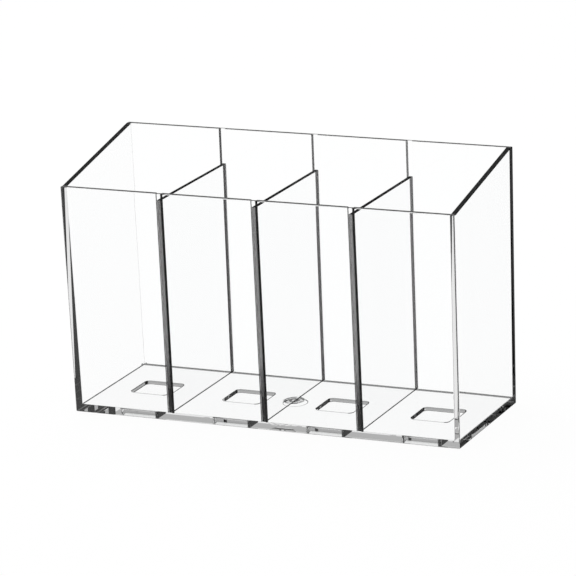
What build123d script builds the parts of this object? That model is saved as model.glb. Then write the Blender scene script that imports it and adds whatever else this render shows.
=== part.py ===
from build123d import *
import math
import os

# Clear brush holder: a one-piece moulded tray, open at the top, and three flat
# dividers that drop into its grooves. Millimetres, +Z up, X along the row of
# compartments, -Y to the low front. The origin is the middle of the base.

# Outside of the tray, taken at the height of the front rim
rim_width = 200.0
rim_depth = 74.8
front_height = 111.5
back_height = 125.5
draft_angle = 0.53

# Plastic of the tray: the end walls lean further on the inside, so they thicken towards the floor
wall = 2.5
end_inner_draft_angle = 0.73
floor_thickness = 3.5
outer_rounding = 0.5
inner_rounding = 0.3
rim_rounding = 0.35
slope_rounding = 4.0

# Shallow dip in the floor of each compartment
dip_width = 19.8
dip_depth = 19.5
dip_sink = 1.8
dip_corner_rounding = 2.5
dip_floor_rounding = 0.3

# Injection point under the middle of the base: a round dish with a cut-off stub
dish_diameter = 13.5
dish_sink = 0.6
dish_rounding = 0.3
stub_diameter = 3.2
stub_recess = 0.2

# Dividers from left to right, one between each pair of compartments
divider_names = ["left_divider", "middle_divider", "right_divider"]
divider_thickness = 2.0
divider_drop = 3.3
divider_rounding = 0.25

# Grooves that hold the dividers, narrowing from the mouth to the bottom
groove_sink = 1.3
groove_flare = 0.55
groove_side_gap = 0.15
divider_end_gap = 0.2
divider_seat_gap = 0.1

# How far each cut runs past the plastic that it cuts
overrun = 5.0

# Worked out from the sizes above
lean = math.tan(math.radians(draft_angle))
end_inner_lean = math.tan(math.radians(end_inner_draft_angle))
compartments = len(divider_names) + 1
pitch = (rim_width - 2 * wall) / compartments
groove_width = divider_thickness + 2 * groove_side_gap
divider_top = front_height - divider_drop
divider_foot = floor_thickness + divider_seat_gap
middle_index = (len(divider_names) - 1) / 2
divider_places = [(index - middle_index) * pitch for index in range(len(divider_names))]


def outer_width(height):
    """Width over the outside of the end walls at a height above the base."""
    return rim_width - 2 * (front_height - height) * lean


def outer_depth(height):
    """Depth over the outside of the front and back walls at a height above the base."""
    return rim_depth - 2 * (front_height - height) * lean


def inner_width(height):
    """Width between the inner faces of the end walls at a height above the base."""
    return rim_width - 2 * wall - 2 * (front_height - height) * end_inner_lean


def inner_depth(height):
    """Depth between the inner faces of the front and back walls at a height above the base."""
    return outer_depth(height) - 2 * wall


def groove_section(height):
    """Level cut through a pair of grooves and the space between them, at a height above the base."""
    mouth = inner_depth(height) / 2
    bottom = mouth + groove_sink
    half_slot = groove_width / 2
    with BuildSketch() as section:
        with BuildLine():
            Polyline(
                (half_slot + groove_flare, 0),
                (half_slot + groove_flare, mouth),
                (half_slot, bottom),
                (-half_slot, bottom),
                (-half_slot - groove_flare, mouth),
                (-half_slot - groove_flare, 0),
            )
            mirror(about=Plane.XZ)
        make_face()
    return section.sketch


def divider_reach(height):
    """Distance from the middle plane to the end of a divider at a height above the base."""
    return inner_depth(height) / 2 + groove_sink - divider_end_gap


# Hollow of the tray, as the mould's core makes it, running out past the top
cut_top = back_height + overrun
with BuildPart() as core:
    for height in (floor_thickness, cut_top):
        with BuildSketch(Plane.XY.offset(height)):
            Rectangle(inner_width(height), inner_depth(height))
    loft(ruled=True)
    core_uprights = core.edges().filter_by(Plane.XY, reverse=True)
    core_foot = core.faces().sort_by(Axis.Z)[0].edges()
    fillet(core_uprights + core_foot, inner_rounding)

# Tray: front and back walls level at the top, end walls sloping between them
with BuildPart() as tray:
    with BuildSketch(Plane.XY):
        Rectangle(outer_width(0), outer_depth(0))
    extrude(amount=cut_top, taper=-draft_angle)
    tray_uprights = tray.edges().filter_by(Plane.XY, reverse=True)
    tray_foot = tray.faces().sort_by(Axis.Z)[0].edges()
    fillet(tray_uprights + tray_foot, outer_rounding)

    with BuildSketch(Plane.YZ):
        with BuildLine():
            FilletPolyline(
                (-rim_depth / 2 - overrun, front_height),
                (-rim_depth / 2 + wall, front_height),
                (outer_depth(back_height) / 2 - wall, back_height),
                (rim_depth / 2 + overrun, back_height),
                radius=slope_rounding,
            )
            Polyline(
                (rim_depth / 2 + overrun, back_height),
                (rim_depth / 2 + overrun, cut_top + overrun),
                (-rim_depth / 2 - overrun, cut_top + overrun),
                (-rim_depth / 2 - overrun, front_height),
            )
        make_face()
    extrude(amount=rim_width, both=True, mode=Mode.SUBTRACT)
    add(core.part, mode=Mode.SUBTRACT)

    # Rounded rim, inside and out
    rim_faces = tray.faces().filter_by(
        lambda face: face.normal_at().Z > lean and face.center().Z > divider_top
    )
    rim_edges = rim_faces.edges().filter_by(lambda edge: edge.length > rim_depth / 2)
    fillet(rim_edges, rim_rounding)

    # Grooves in the front and back walls, one cut for each pair
    for place in divider_places:
        for height in (floor_thickness, cut_top):
            with BuildSketch(Plane.XY.offset(height)):
                with Locations((place, 0)):
                    add(groove_section(height))
        loft(ruled=True, mode=Mode.SUBTRACT)

    # Dip in the floor of each compartment
    dip_level = floor_thickness - dip_sink
    with BuildSketch(Plane.XY.offset(floor_thickness)):
        with GridLocations(pitch, 0, compartments, 1):
            RectangleRounded(dip_width, dip_depth, dip_corner_rounding)
    extrude(amount=-dip_sink, mode=Mode.SUBTRACT)
    dip_floors = tray.faces().filter_by(Axis.Z).filter_by_position(Axis.Z, dip_level, dip_level)
    fillet(dip_floors.edges(), dip_floor_rounding)

    # Injection point under the base
    with BuildSketch(Plane.XY):
        Circle(dish_diameter / 2)
        Circle(stub_diameter / 2, mode=Mode.SUBTRACT)
    extrude(amount=dish_sink, mode=Mode.SUBTRACT)
    with BuildSketch(Plane.XY):
        Circle(stub_diameter / 2)
    extrude(amount=stub_recess, mode=Mode.SUBTRACT)
    dish_roof = tray.faces().filter_by(Axis.Z).filter_by_position(Axis.Z, dish_sink, dish_sink)
    fillet(dish_roof.edges(), dish_rounding)

# Dividers, each a flat plate with its ends following the leaning walls
dividers = []
for name, place in zip(divider_names, divider_places):
    with BuildPart() as divider:
        with BuildSketch(Plane.YZ.offset(place)):
            with BuildLine():
                Polyline(
                    (-divider_reach(divider_foot), divider_foot),
                    (divider_reach(divider_foot), divider_foot),
                    (divider_reach(divider_top), divider_top),
                    (-divider_reach(divider_top), divider_top),
                    close=True,
                )
            make_face()
        extrude(amount=divider_thickness / 2, both=True)
        fillet(divider.edges(), divider_rounding)
    divider.part.label = name
    dividers.append(divider.part)

os.makedirs("parts", exist_ok=True)
tray.part.label = "tray"
export_step(tray.part, "parts/tray.step")
for divider_part in dividers:
    export_step(divider_part, f"parts/{divider_part.label}.step")
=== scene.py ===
# %% [markdown]
# # A clear brush holder
# The holder is a box of clear moulded plastic, open at the top, with three thin
# plates that drop into grooves and part it into four compartments. Every shape
# is already right in the packed model, so this lesson is about looks: how clear
# plastic is told from the white that it stands on by nothing but its edges.

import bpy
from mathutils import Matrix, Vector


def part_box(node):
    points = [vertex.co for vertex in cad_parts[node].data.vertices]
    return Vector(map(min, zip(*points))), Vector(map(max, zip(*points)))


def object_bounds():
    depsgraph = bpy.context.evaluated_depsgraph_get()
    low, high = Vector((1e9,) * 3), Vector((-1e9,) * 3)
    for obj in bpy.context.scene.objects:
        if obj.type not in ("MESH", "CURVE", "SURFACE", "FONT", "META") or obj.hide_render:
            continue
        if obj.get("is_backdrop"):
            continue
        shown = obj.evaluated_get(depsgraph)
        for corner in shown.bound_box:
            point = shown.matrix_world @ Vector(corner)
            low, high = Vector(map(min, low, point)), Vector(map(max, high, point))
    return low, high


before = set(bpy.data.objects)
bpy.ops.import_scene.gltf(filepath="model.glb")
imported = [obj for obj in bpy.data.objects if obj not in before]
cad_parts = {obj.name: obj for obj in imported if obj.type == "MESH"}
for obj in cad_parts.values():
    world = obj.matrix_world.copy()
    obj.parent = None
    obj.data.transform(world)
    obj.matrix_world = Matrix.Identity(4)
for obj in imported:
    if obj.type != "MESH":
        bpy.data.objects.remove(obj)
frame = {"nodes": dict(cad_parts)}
cad_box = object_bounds()
nodes = frame["nodes"]
cad_size = [round(high - low, 4) for low, high in zip(*cad_box)]
print("nodes:", ", ".join(nodes), "in a box of", cad_size)

# %% [markdown]
# ## The camera
# The picture is taken from the right of the front, a little above the rim, with
# a long lens from far away, so that the uprights stay almost parallel. A camera
# could be pointed at the holder with a constraint, but a photographer's camera
# also leans a little, so its axes are worked out from three angles.

# %% Camera
import math

import bpy
from mathutils import Matrix, Vector

CAMERA_PLACE = Vector((0.7300, -1.5850, 0.5564))
CAMERA_AZIMUTH = math.radians(24.763)
CAMERA_ELEVATION = math.radians(15.901)
CAMERA_ROLL = math.radians(-2.460)
CAMERA_LENS_MM = 239.46
NEAREST_SEEN = 0.1


def aim_camera():
    """Adds the camera and turns it by its azimuth, its elevation and its roll."""
    level = math.cos(CAMERA_ELEVATION)
    towards_camera = Vector((
        math.sin(CAMERA_AZIMUTH) * level,
        -math.cos(CAMERA_AZIMUTH) * level,
        math.sin(CAMERA_ELEVATION),
    ))
    level_right = Vector((math.cos(CAMERA_AZIMUTH), math.sin(CAMERA_AZIMUTH), 0.0))
    level_up = towards_camera.cross(level_right)
    right = math.cos(CAMERA_ROLL) * level_right + math.sin(CAMERA_ROLL) * level_up
    up = math.cos(CAMERA_ROLL) * level_up - math.sin(CAMERA_ROLL) * level_right
    turn = Matrix((right, up, towards_camera)).transposed()
    camera = bpy.data.objects.new("camera", bpy.data.cameras.new("camera"))
    bpy.context.scene.collection.objects.link(camera)
    camera.matrix_world = Matrix.Translation(CAMERA_PLACE) @ turn.to_4x4()
    camera.data.lens = CAMERA_LENS_MM
    camera.data.clip_start = NEAREST_SEEN
    bpy.context.scene.camera = camera
    return camera


print("camera", round(aim_camera().location.length, 3), "m from the middle of the base")

# %% [markdown]
# ## Shader maths
# A finish is a small sum: so much waviness here, so much haze there. Wiring that
# sum by hand takes many lines for each plus sign, so one class wraps a socket
# and turns Python's own operators into Math nodes. Most masks here are an eased
# step from 0 to 1 or back, so the class has a word for each.

# %% A socket that can be added and multiplied
class Wire:
    """A socket of a node tree that takes part in Python sums, each of which adds a Math node."""

    def __init__(self, tree, socket):
        self.tree = tree
        self.socket = socket

    def math(self, operation, *others):
        inputs = dict(enumerate((self, *others)))
        return add_node(self.tree, "ShaderNodeMath", {"operation": operation}, inputs)["Value"]

    def __add__(self, other):
        return self.math("ADD", other)

    __radd__ = __add__

    def __mul__(self, other):
        return self.math("MULTIPLY", other)

    __rmul__ = __mul__

    def __sub__(self, other):
        return self.math("SUBTRACT", other)

    def __rsub__(self, other):
        return (self * -1.0) + other

    def between(self, low, high):
        """0 below low and 1 above high, with an eased rise from one to the other."""
        inputs = {"Value": self, "From Min": low, "From Max": high}
        settings = {"interpolation_type": "SMOOTHSTEP"}
        return add_node(self.tree, "ShaderNodeMapRange", settings, inputs)["Result"]

    def below(self, low, high):
        """1 below low and 0 above high, with an eased fall from one to the other."""
        return 1.0 - self.between(low, high)


def add_node(tree, kind, settings=None, inputs=None):
    """Adds a node, sets its options, then its sockets, and returns its outputs by name as wires."""
    node = tree.nodes.new(kind)
    for name, value in (settings or {}).items():
        setattr(node, name, value)
    for name, value in (inputs or {}).items():
        if isinstance(value, Wire):
            tree.links.new(value.socket, node.inputs[name])
        else:
            node.inputs[name].default_value = value
    return {output.name: Wire(tree, output) for output in node.outputs if output.enabled}


def blend(share, first, second):
    """The first number where share is 0 and the second where it is 1."""
    return share * (second - first) + first


def most(*wires):
    """The largest of several wires."""
    largest = wires[0]
    for wire in wires[1:]:
        largest = largest.math("MAXIMUM", wire)
    return largest


sums = [name for name in vars(Wire) if name.endswith(("add__", "mul__", "sub__"))]
print("socket maths:", ", ".join(sums))

# %% [markdown]
# ## The skin of the moulding
# Moulded plastic is as smooth as the steel that it cooled against, but it isn't
# quite flat: it is drawn into slow waves as it shrinks, and the straight lines
# seen through it wander a little. Handling leaves a breath of haze in patches.
# Both could be painted in an image. A noise texture on Object coordinates does
# the same at any size, and stays on the plastic when a plate is lifted out.

# %% Waves and haze
from collections import namedtuple

WAVES_PER_METRE = 38.0
WAVE_HEIGHT = 0.25e-5
SMUDGES_PER_METRE = 55.0
SMUDGE_DETAIL = 3.0
SMUDGE_LIMITS = (0.5, 0.75)
SMUDGE_ROUGHNESS = 0.015
MM_PER_METRE = 1000.0

Place = namedtuple("Place", "tree point spot")


def surface_place(tree):
    """A material's tree with the point on the surface, as a vector and as coordinates in metres."""
    point = add_node(tree, "ShaderNodeTexCoord")["Object"]
    return Place(tree, point, add_node(tree, "ShaderNodeSeparateXYZ", inputs={"Vector": point}))


def noise(tree, point, per_metre, detail=1.0):
    inputs = {"Vector": point, "Scale": per_metre, "Detail": detail}
    return add_node(tree, "ShaderNodeTexNoise", inputs=inputs)["Fac"]


def skin_height(place):
    return noise(place.tree, place.point, WAVES_PER_METRE) * WAVE_HEIGHT


def skin_haze(place):
    smudges = noise(place.tree, place.point, SMUDGES_PER_METRE, SMUDGE_DETAIL)
    return smudges.between(*SMUDGE_LIMITS) * SMUDGE_ROUGHNESS


def in_mm(metres):
    return round(metres * MM_PER_METRE, 2)


print("waves", in_mm(1.0 / WAVES_PER_METRE), "mm long")
print("smudges", in_mm(1.0 / SMUDGES_PER_METRE), "mm across")

# %% [markdown]
# ## Clear plastic
# Polystyrene bends light more than glass does, so most of the light that gets
# into a wall by its edge is mirrored from face to face inside it, as in a light
# guide, and every edge shows a stack of dark and pale slivers. The Principled
# shader does that by itself. Its IOR is a little over polystyrene's 1.59, where
# the slivers fall in the right places. Some things are set apart. A little light
# is lost at each mirroring, by a grey Specular Tint. A photographer looks at such
# faces through a polarising filter, which takes most of the outer reflections away
# and lets the white behind show through: a plain Refraction shader, mixed in where
# the light isn't mirrored back whole, stands for that filter. And small roundings
# throw light aside so hard that they read as dark lines. Those lines are painted
# shade, drawn in two ways: as a dark base colour that tints what passes through,
# and, where light skims along a face and is mirrored whole, which no tint changes,
# as a mix with a matt dark grey.

# %% Clear plastic
PLASTIC_IOR = 1.61
PLASTIC_TINT = (0.998, 0.9992, 0.9995, 1.0)
MIRRORED_SHARE = (0.95, 0.95, 0.95, 1.0)
MIRRORED_WHOLE = (0.5, 1.0)
GLOSS_LEFT_BY_FILTER = 0.07
# Painted shade: the dark base colour of the painted lines and swirl, and the matt dark grey mixed in on the
# groove flanks.
PAINTED_SHADE_DARK = (0.006, 0.006, 0.0065, 1.0)
SHADE_DARK = (0.08, 0.08, 0.08, 1.0)
# The Mix node's colours have the same names as its numbers, so they go by their places.
FIRST_COLOUR = 6
SECOND_COLOUR = 7


def empty_material(name):
    material = bpy.data.materials.new(name)
    material.use_nodes = True
    material.node_tree.nodes.clear()
    return material


def mix_shaders(tree, share, first, second):
    return add_node(tree, "ShaderNodeMixShader", inputs={0: share, 1: first, 2: second})["Shader"]


def clear_plastic(name, roughness, height, painted_shade, gloss, shade=None):
    """A clear plastic. Its roughness, its height, where its base colour is darkened into painted shade,
    where it keeps its gloss and where a matt dark grey is mixed in as painted deep shade are
    functions of the place on the surface."""
    material = empty_material(name)
    tree = material.node_tree
    place = surface_place(tree)
    rough = roughness(place)
    lift = add_node(tree, "ShaderNodeBump", inputs={"Distance": 1.0, "Height": height(place)})
    shared = {"Roughness": rough, "IOR": PLASTIC_IOR, "Normal": lift["Normal"]}
    # The base colour goes from the clear tint to the dark one where shade is painted.
    colours = {"Factor": painted_shade(place), FIRST_COLOUR: PLASTIC_TINT, SECOND_COLOUR: PAINTED_SHADE_DARK}
    skin = add_node(tree, "ShaderNodeBsdfPrincipled", inputs={
        "Base Color": add_node(tree, "ShaderNodeMix", {"data_type": "RGBA"}, colours)["Result"],
        "Transmission Weight": 1.0,
        "Specular Tint": MIRRORED_SHARE,
        **shared,
    })
    filtered = add_node(tree, "ShaderNodeBsdfRefraction", inputs={"Color": PLASTIC_TINT, **shared})
    mirroring = add_node(tree, "ShaderNodeFresnel", inputs={"IOR": PLASTIC_IOR})["Fac"]
    share = mirroring.below(*MIRRORED_WHOLE) * (1.0 - gloss(place)) * (1.0 - GLOSS_LEFT_BY_FILTER)
    surface = mix_shaders(tree, share, skin["BSDF"], filtered["BSDF"])
    # Where the shade mask rises, a matt dark grey is mixed in: more painted shade.
    if shade:
        dark = add_node(tree, "ShaderNodeBsdfDiffuse", inputs={"Color": SHADE_DARK})
        surface = mix_shaders(tree, shade(place), surface, dark["BSDF"])
    add_node(tree, "ShaderNodeOutputMaterial", inputs={"Surface": surface})
    return material


print("plastic bends light by", PLASTIC_IOR, "and keeps", GLOSS_LEFT_BY_FILTER, "of its outer gloss")

# %% [markdown]
# ## The swirl in the floor
# The tray fills from one point under the middle of its floor. There the plastic
# sets last and is left in tight rings, pulled out of round by the flow, which
# bend the light so hard that they show as a dark swirl of two lobes. That dark
# swirl is painted shade in the base colour. An image could carry it. A sine of
# the distance from its middle makes rings at any size, noise added to the distance
# pulls them out of round, and the share of the distance that runs along X keeps
# the two lobes. The same rings also lift the surface a little.

# %% Swirl
FLOOR_LEVEL = 0.0035
FLOOR_FACE = (0.0002, 0.0004)
RING_MIDDLE = (-0.0010, 0.0008)
RING_STEP = 0.0030
RING_HEIGHT = 2.0e-5
RING_REACH = (0.00528, 0.0066)
RING_LIMITS = (-0.3, 0.1)
RING_DARKNESS = 0.985
RING_FILL = 0.7
FLOW_PULL = 0.0026
FLOW_PER_METRE = 320.0
LOBE_LIMITS = (0.05, 0.35)


def off_floor(spot):
    """Distance up or down from the upper face of the floor."""
    return (spot["Z"] - FLOOR_LEVEL).math("ABSOLUTE")


def from_rings(spot):
    """Distance along X from the middle of the rings, and distance from it in any direction."""
    aside = spot["X"] - RING_MIDDLE[0]
    behind = spot["Y"] - RING_MIDDLE[1]
    return aside, (aside * aside + behind * behind).math("SQRT")


def flow_rings(place):
    """Rings round the injection point, as a sine from -1 to 1."""
    away = from_rings(place.spot)[1]
    pulled = away + noise(place.tree, place.point, FLOW_PER_METRE) * FLOW_PULL
    return (pulled * (math.tau / RING_STEP)).math("SINE")


def ring_area(spot):
    """1 where the rings are: on the upper face of the floor, in two lobes along the flow."""
    aside, away = from_rings(spot)
    lobes = aside.math("ABSOLUTE").math("DIVIDE", away).between(*LOBE_LIMITS)
    return lobes * away.below(*RING_REACH) * off_floor(spot).below(*FLOOR_FACE)


def swirl_height(place):
    return flow_rings(place) * ring_area(place.spot) * RING_HEIGHT


# Painted shade: the rings darken the base colour of the floor, for the light that they bend away.
def swirl_painted_shade(place):
    rings = flow_rings(place).between(*RING_LIMITS)
    return ring_area(place.spot) * blend(rings, RING_FILL, RING_DARKNESS)


print("rings", in_mm(RING_STEP), "mm apart, out to", in_mm(RING_REACH[1]), "mm from their middle")

# %% [markdown]
# ## The corners of the floor
# Where the floor meets the back wall and the end walls, a small rounding takes
# in light from every side but the white one, and reads as a thin dark line. That
# line is painted shade. It could be a strip of its own, but the corner belongs to
# the tray, so it is a mask in the tray's material that darkens the base colour:
# near the floor's upper face, and near the wall.

# %% Floor corners
CORNER_HEIGHT = (0.00024, 0.0004)
CORNER_PAST_WALL = (0.0001, 0.0003)
BACK_WALL = 0.0339
BACK_CORNER = (-0.0024, -0.00168)
BACK_CORNER_DARKNESS = 0.95
END_WALL = 0.0961
END_CORNER = (-0.0007, -0.00049)
END_CORNER_DARKNESS = 0.9


def floor_corner(spot, past_wall, start):
    """1 in the corner between the floor and a wall, from the distance past that wall."""
    level = off_floor(spot).below(*CORNER_HEIGHT)
    return level * past_wall.between(*start) * past_wall.below(*CORNER_PAST_WALL)


# Painted shade: the dark lines in the corners of the floor.
def corner_painted_shade(spot):
    back = floor_corner(spot, spot["Y"] - BACK_WALL, BACK_CORNER) * BACK_CORNER_DARKNESS
    ends = floor_corner(spot, spot["X"].math("ABSOLUTE") - END_WALL, END_CORNER) * END_CORNER_DARKNESS
    return most(back, ends)


print("corner lines", in_mm(BACK_WALL), "mm to the back and", in_mm(END_WALL), "mm to each side")

# %% [markdown]
# ## The lips of the dips
# Each compartment has a shallow dip in its floor. Its upright sides come out
# clear at their foot, but on the real holder they darken towards the lip, which
# is rounded over and bends the light away. That shade is painted: a mask that
# rises with height, and stops just under the upper face of the floor, darkens the
# base colour of those sides. It leaves the walls of the tray alone.

# %% Dip lips
LIP_HEIGHT = 0.0012
LIP_TOP = (-0.00004, -0.00002)
LIP_DARKNESS = 0.6
DIP_SIDE = (0.0100, 0.0102)
DIP_END = (0.0921, 0.0941)


def lip_painted_shade(spot):
    """Painted shade that rises to its darkness at the upper edge of the dips in the floor."""
    above = spot["Z"] - FLOOR_LEVEL
    rise = above.between(-LIP_HEIGHT, 0.0) * above.below(*LIP_TOP)
    inside = spot["Y"].math("ABSOLUTE").below(*DIP_SIDE) * spot["X"].math("ABSOLUTE").below(*DIP_END)
    return rise * inside * LIP_DARKNESS


print("lips", in_mm(LIP_HEIGHT), "mm high")

# %% [markdown]
# ## The grooves
# The plates stand in grooves with slanting flanks. Light skims along the flanks
# of the front grooves, and they frame each plate with a dark line, so they get
# the matt dark grey as painted shade. The flanks at the back are seen across the
# open tray and are left satin, which scatters the light and keeps those lines
# thin and grey. The grooves could be masked by their places alone, but the walls
# lean, so the distance into the wall is taken from a leaning plane.

# %% Grooves
WALL_LEAN = math.tan(math.radians(0.53))
WALL_AT_BASE = 0.03387
GROOVE_MOUTH = (-0.0001, -0.00005)
GROOVE_BOTTOM = (0.0013, 0.0014)
GROOVE_FOOT = (0.0035, 0.0037)
FLANK_INNER = (0.00085, 0.00095)
FLANK_OUTER = (0.00175, 0.00180)
FLANK_DARKNESS = 0.9
FLANK_ROUGHNESS = 0.45


def groove_flank(spot):
    """1 on the flanks of the grooves that hold the plates, in front and at the back."""
    low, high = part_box("right_divider")
    off_middle = spot["X"].math("ABSOLUTE")
    off_side = (off_middle - (low[0] + high[0]) / 2).math("ABSOLUTE")
    off_plate = off_middle.math("MINIMUM", off_side)
    flank = off_plate.between(*FLANK_INNER) * off_plate.below(*FLANK_OUTER)
    depth = spot["Y"].math("ABSOLUTE") - spot["Z"] * WALL_LEAN - WALL_AT_BASE
    inside = depth.between(*GROOVE_MOUTH) * depth.below(*GROOVE_BOTTOM)
    return flank * inside * spot["Z"].between(*GROOVE_FOOT)


def in_front(spot):
    return spot["Y"].math("LESS_THAN", 0.0)


# Painted shade: the share of matt dark grey on the flanks of the front grooves.
def flank_shade(place):
    return groove_flank(place.spot) * in_front(place.spot) * FLANK_DARKNESS


def flank_roughness(place):
    return groove_flank(place.spot) * (1.0 - in_front(place.spot)) * FLANK_ROUGHNESS


print("flanks to", in_mm(FLANK_OUTER[1]), "mm beside the middle of each plate")

# %% [markdown]
# ## The rim, and the whole tray
# The rim faces up, and a filter that is turned for upright faces leaves it its
# gloss, so it mirrors the dark room and draws the outline of the mouth. A second
# material could be put on its faces, but a mask in the same one keeps the tray
# whole. The rim is level in front and at the back and slopes between them, so the
# mask follows the same line. With that, the tray's material has all that it needs.

# %% Tray
RIM_FRONT = (-0.0349, 0.1115)
RIM_BACK = (0.0350, 0.1255)
RIM_DEPTH = (0.0002, 0.0004)


def tray_rim(spot):
    """1 on the rim, from its height in front to its height at the back."""
    run = RIM_BACK[0] - RIM_FRONT[0]
    along = ((spot["Y"] - RIM_FRONT[0]) * (1.0 / run)).math("MAXIMUM", 0.0).math("MINIMUM", 1.0)
    return (blend(along, RIM_FRONT[1], RIM_BACK[1]) - spot["Z"]).below(*RIM_DEPTH)


# All the painted shade of the tray: the swirl, the floor corners and the dip lips.
def tray_painted_shade(place):
    return most(swirl_painted_shade(place), corner_painted_shade(place.spot), lip_painted_shade(place.spot))


def tray_plastic():
    return clear_plastic(
        "clear_tray",
        roughness=lambda place: skin_haze(place) + flank_roughness(place),
        height=lambda place: skin_height(place) + swirl_height(place),
        painted_shade=tray_painted_shade,
        gloss=lambda place: most(tray_painted_shade(place), tray_rim(place.spot)),
        shade=flank_shade,
    )


nodes["tray"].material_slots[0].material = tray_plastic()
print("tray finished in", nodes["tray"].material_slots[0].material.name)

# %% [markdown]
# ## The dividers
# The plates have mirror-smooth faces, but their two upright ends, which nobody
# sees until a plate is lifted out, are left satin. Light that enters such an end
# is scattered, so the end reads as an even grey band instead of slivers. The
# ends lean with the walls, so the mask leans too. Streaks up the end, as a
# cutter leaves them, come from noise that is stretched along Z. The front end
# has a dark line down both of its edges, the foot has one too, and both ends
# darken near the foot, where they stand deepest in the tray. These lines and
# that darkening are painted shade in the base colour.

# %% Dividers
END_FACE = (-0.0004, -0.0002)
END_ROUGHNESS = 0.34
STREAK_ROUGHNESS = 0.12
STREAK_DETAIL = 2.0
STREAKS_PER_METRE = (2600.0, 2600.0, 40.0)
EDGE_LINE = (-0.00045, -0.000225)
FOOT_LINE = (0.000225, 0.00045)
SHOE_TOP = (0.0155, 0.0165)
SHOE_SHADE_DARKNESS = 0.86


def cut_end(spot, plate):
    """1 on the upright ends of a plate, which lean out with the walls."""
    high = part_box(plate)[1]
    reach_at_base = high[1] - WALL_LEAN * high[2]
    past_end = spot["Y"].math("ABSOLUTE") - spot["Z"] * WALL_LEAN - reach_at_base
    return past_end.between(*END_FACE)


def end_roughness(place, plate):
    stretch = {"Vector": place.point, "Scale": STREAKS_PER_METRE}
    stretched = add_node(place.tree, "ShaderNodeMapping", inputs=stretch)["Vector"]
    streaks = noise(place.tree, stretched, per_metre=1.0, detail=STREAK_DETAIL)
    satin = streaks * STREAK_ROUGHNESS + END_ROUGHNESS
    return blend(cut_end(place.spot, plate), skin_haze(place), satin)


def plate_painted_shade(spot, plate):
    """Painted shade: dark lines down the edges of the front end and along the foot, and the dark foot of
    the ends.
    """
    low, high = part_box(plate)
    past_face = (spot["X"] - (low[0] + high[0]) / 2).math("ABSOLUTE") - (high[0] - low[0]) / 2
    ends = cut_end(spot, plate)
    edges = ends * past_face.between(*EDGE_LINE) * in_front(spot)
    foot = (spot["Z"] - low[2]).below(*FOOT_LINE)
    # Painted shade where the ends stand deep in the tray.
    shoe_shade = ends * spot["Z"].below(*SHOE_TOP) * SHOE_SHADE_DARKNESS
    return most(edges, foot, shoe_shade)


def divider_plastic(plate):
    return clear_plastic(
        "clear_" + plate,
        roughness=lambda place: end_roughness(place, plate),
        height=skin_height,
        painted_shade=lambda place: plate_painted_shade(place.spot, plate),
        gloss=lambda place: most(cut_end(place.spot, plate), plate_painted_shade(place.spot, plate)),
    )


for plate in ("left_divider", "middle_divider", "right_divider"):
    nodes[plate].material_slots[0].material = divider_plastic(plate)
    reach = [in_mm(corner[1]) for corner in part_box(plate)]
    print(plate, "finished, its ends", reach, "mm from the middle")

# %% [markdown]
# ## The floor
# The floor is plain and white. Most of its white is its own, for whoever looks
# at it or through the plastic at it, and a small share is matt paint under a
# soft lamp, which keeps the holder's shadow. Clear plastic on plain white would
# vanish, so photographers put it in a room that is dark on one side: light that
# has been mirrored in the plastic comes from that room, not from the table. The
# Light Path node knows how often a ray has been mirrored, and for mirrored rays
# the floor lets the room through.

# %% Floor
FLOOR_HALF = 30.0
FLOOR_DROP = 0.0001
FLOOR_SIGNS = ((-1, -1), (1, -1), (1, 1), (-1, 1))
FLOOR_PAINT = (0.95, 0.95, 0.95, 1.0)
PAINT_SHARE = 0.03
MIRRORED_ONCE = 0.5


def floor_finish():
    material = empty_material("floor")
    tree = material.node_tree
    path = add_node(tree, "ShaderNodeLightPath")
    looked_at = most(path["Is Camera Ray"], path["Is Glossy Ray"], path["Is Transmission Ray"])
    paint = add_node(tree, "ShaderNodeBsdfDiffuse", inputs={"Color": FLOOR_PAINT})
    white = add_node(tree, "ShaderNodeEmission", inputs={"Strength": 1.0})
    room = add_node(tree, "ShaderNodeBsdfTransparent")
    table = mix_shaders(tree, looked_at * (1.0 - PAINT_SHARE), paint["BSDF"], white["Emission"])
    mirrored = path["Glossy Depth"].math("GREATER_THAN", MIRRORED_ONCE)
    surface = mix_shaders(tree, mirrored, table, room["BSDF"])
    add_node(tree, "ShaderNodeOutputMaterial", inputs={"Surface": surface})
    return material


def pale_floor():
    corners = [(x * FLOOR_HALF, y * FLOOR_HALF, -FLOOR_DROP) for x, y in FLOOR_SIGNS]
    mesh = bpy.data.meshes.new("floor")
    mesh.from_pydata(corners, [], [range(len(corners))])
    mesh.materials.append(floor_finish())
    floor = bpy.data.objects.new("floor", mesh)
    bpy.context.scene.collection.objects.link(floor)
    floor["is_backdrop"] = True
    return floor


print("floor", round(pale_floor().dimensions.x), "m wide")

# %% [markdown]
# ## The room
# The room could be a picture wrapped round the scene. Levels of grey for each
# side are enough: pale at the back left and low in front of the table, dark to
# the right and overhead. Light that runs from face to face grows dim on its way,
# more than the tint alone takes, so the sides also fall off with the number of
# mirrorings. The floor of the tray is a short way through, of three or four
# mirrorings, and has levels of its own. The camera sees white, and so do rays that
# pass through the plastic unmirrored, under the same dark ceiling.

# %% Room
ROOM_BACK_LEFT = 1.0
ROOM_BACK_LEFT_HIGH = 0.5
ROOM_FRONT_LOW = 0.8
ROOM_FRONT_HIGH = 0.1
ROOM_RIGHT = 0.07
ROOM_CEILING = 0.2
ROOM_SEEN_DEEP = 0.05
ROOM_IN_FLOOR_LOW = 0.55
ROOM_IN_FLOOR_HIGH = 1.0
ROOM_TURNS = (-0.1, 0.1)
ROOM_HORIZON = (-0.05, 0.05)
ROOM_STEEP = (0.3, 0.55)
FLOOR_MIRRORINGS = 3.5
FLOOR_MIRRORINGS_OFF = 1.0
FRONT_MIRRORINGS = 4.5
BACK_MIRRORINGS = 7.5
DEEP_MIRRORINGS = (8.5, 13.0)


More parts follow.
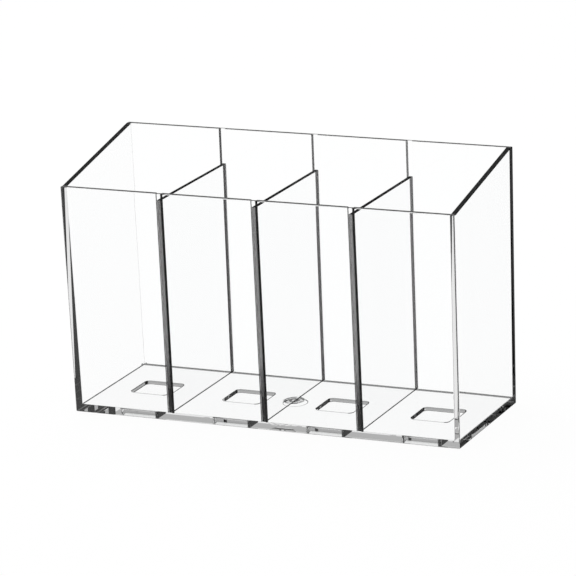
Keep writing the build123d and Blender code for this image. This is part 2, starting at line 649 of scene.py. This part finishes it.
def mirrored_room(towards, mirrorings):
    """How bright the room is in a direction, for light that has been mirrored so often."""
    high = towards["Z"].between(*ROOM_HORIZON)
    far = mirrorings.math("GREATER_THAN", BACK_MIRRORINGS)
    back_left = blend(high, ROOM_BACK_LEFT, blend(far, ROOM_BACK_LEFT_HIGH, ROOM_SEEN_DEEP))
    count_off = (mirrorings - FLOOR_MIRRORINGS).math("ABSOLUTE")
    in_floor = count_off.math("LESS_THAN", FLOOR_MIRRORINGS_OFF)
    back_left = blend(in_floor, back_left, blend(high, ROOM_IN_FLOOR_LOW, ROOM_IN_FLOOR_HIGH))
    dim = mirrorings.math("GREATER_THAN", FRONT_MIRRORINGS)
    front = blend(dim, blend(high, ROOM_FRONT_LOW, ROOM_FRONT_HIGH), ROOM_SEEN_DEEP)
    room = blend(towards["Y"].between(*ROOM_TURNS), front, back_left)
    room = blend(towards["X"].between(*ROOM_TURNS), room, ROOM_RIGHT)
    room = blend(towards["Z"].between(*ROOM_STEEP), room, ROOM_CEILING)
    return blend(mirrorings.between(*DEEP_MIRRORINGS), room, ROOM_SEEN_DEEP)


def studio_room():
    world = bpy.data.worlds.new("studio")
    world.use_nodes = True
    bpy.context.scene.world = world
    tree = world.node_tree
    tree.nodes.clear()
    direction = add_node(tree, "ShaderNodeTexCoord")["Generated"]
    towards = add_node(tree, "ShaderNodeSeparateXYZ", inputs={"Vector": direction})
    path = add_node(tree, "ShaderNodeLightPath")
    backdrop = blend(towards["Z"].between(*ROOM_STEEP), 1.0, ROOM_CEILING)
    backdrop = blend(path["Is Camera Ray"], backdrop, 1.0)
    mirrored = path["Glossy Depth"].math("GREATER_THAN", MIRRORED_ONCE)
    level = blend(mirrored, backdrop, mirrored_room(towards, path["Glossy Depth"]))
    glow = add_node(tree, "ShaderNodeBackground", inputs={"Strength": level})
    add_node(tree, "ShaderNodeOutputWorld", inputs={"Surface": glow["Background"]})
    return world


print("room", studio_room().name, "from", ROOM_RIGHT, "on the right to", ROOM_BACK_LEFT, "at the back left")

# %% [markdown]
# ## The lamp
# One large soft lamp hangs over the table. A sun would be simpler, but its shadow
# is hard. The lamp lights the paint of the floor at a plain level, so the shadow
# is soft and faint, and the plastic doesn't mirror the lamp.

# %% Lamp
LAMP_SIDE = 2.0
LAMP_PLACE = Vector((-0.5, 0.3, 1.5))
LAMP_WATTS = 34.0


def soft_lamp():
    lamp = bpy.data.objects.new("lamp", bpy.data.lights.new("lamp", "AREA"))
    lamp.data.size = LAMP_SIDE
    lamp.data.energy = LAMP_WATTS
    lamp.location = LAMP_PLACE
    lamp.rotation_euler = LAMP_PLACE.to_track_quat("Z", "Y").to_euler()
    lamp.visible_camera = False
    lamp.visible_glossy = False
    lamp.visible_transmission = False
    bpy.context.scene.collection.objects.link(lamp)
    return lamp


print("lamp of", soft_lamp().data.energy, "W")

# %% [markdown]
# ## Light paths
# A ray in the edge of a wall is mirrored a dozen times on its way to the far
# side, and a path that is cut short is black, so the limits go well past that.

# %% Paths and tones
PATH_STEPS = 48
MIRROR_STEPS = 24

scene = bpy.context.scene
scene.view_settings.view_transform = "Standard"
scene.cycles.max_bounces = PATH_STEPS
scene.cycles.transmission_bounces = PATH_STEPS
scene.cycles.glossy_bounces = MIRROR_STEPS
print("paths of", scene.cycles.max_bounces, "steps, tones", scene.view_settings.view_transform)

# %% [markdown]
# ## Sizes
# The looks add no shape, so the dressed holder has to fill the same box as the
# packed one. The packed box is printed at the start, and here how far the dressed
# one grew past it.

looks_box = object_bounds()
grown = max(abs(a - b) for cad, looks in zip(cad_box, looks_box) for a, b in zip(cad, looks))
print("grown by", grown, "m")
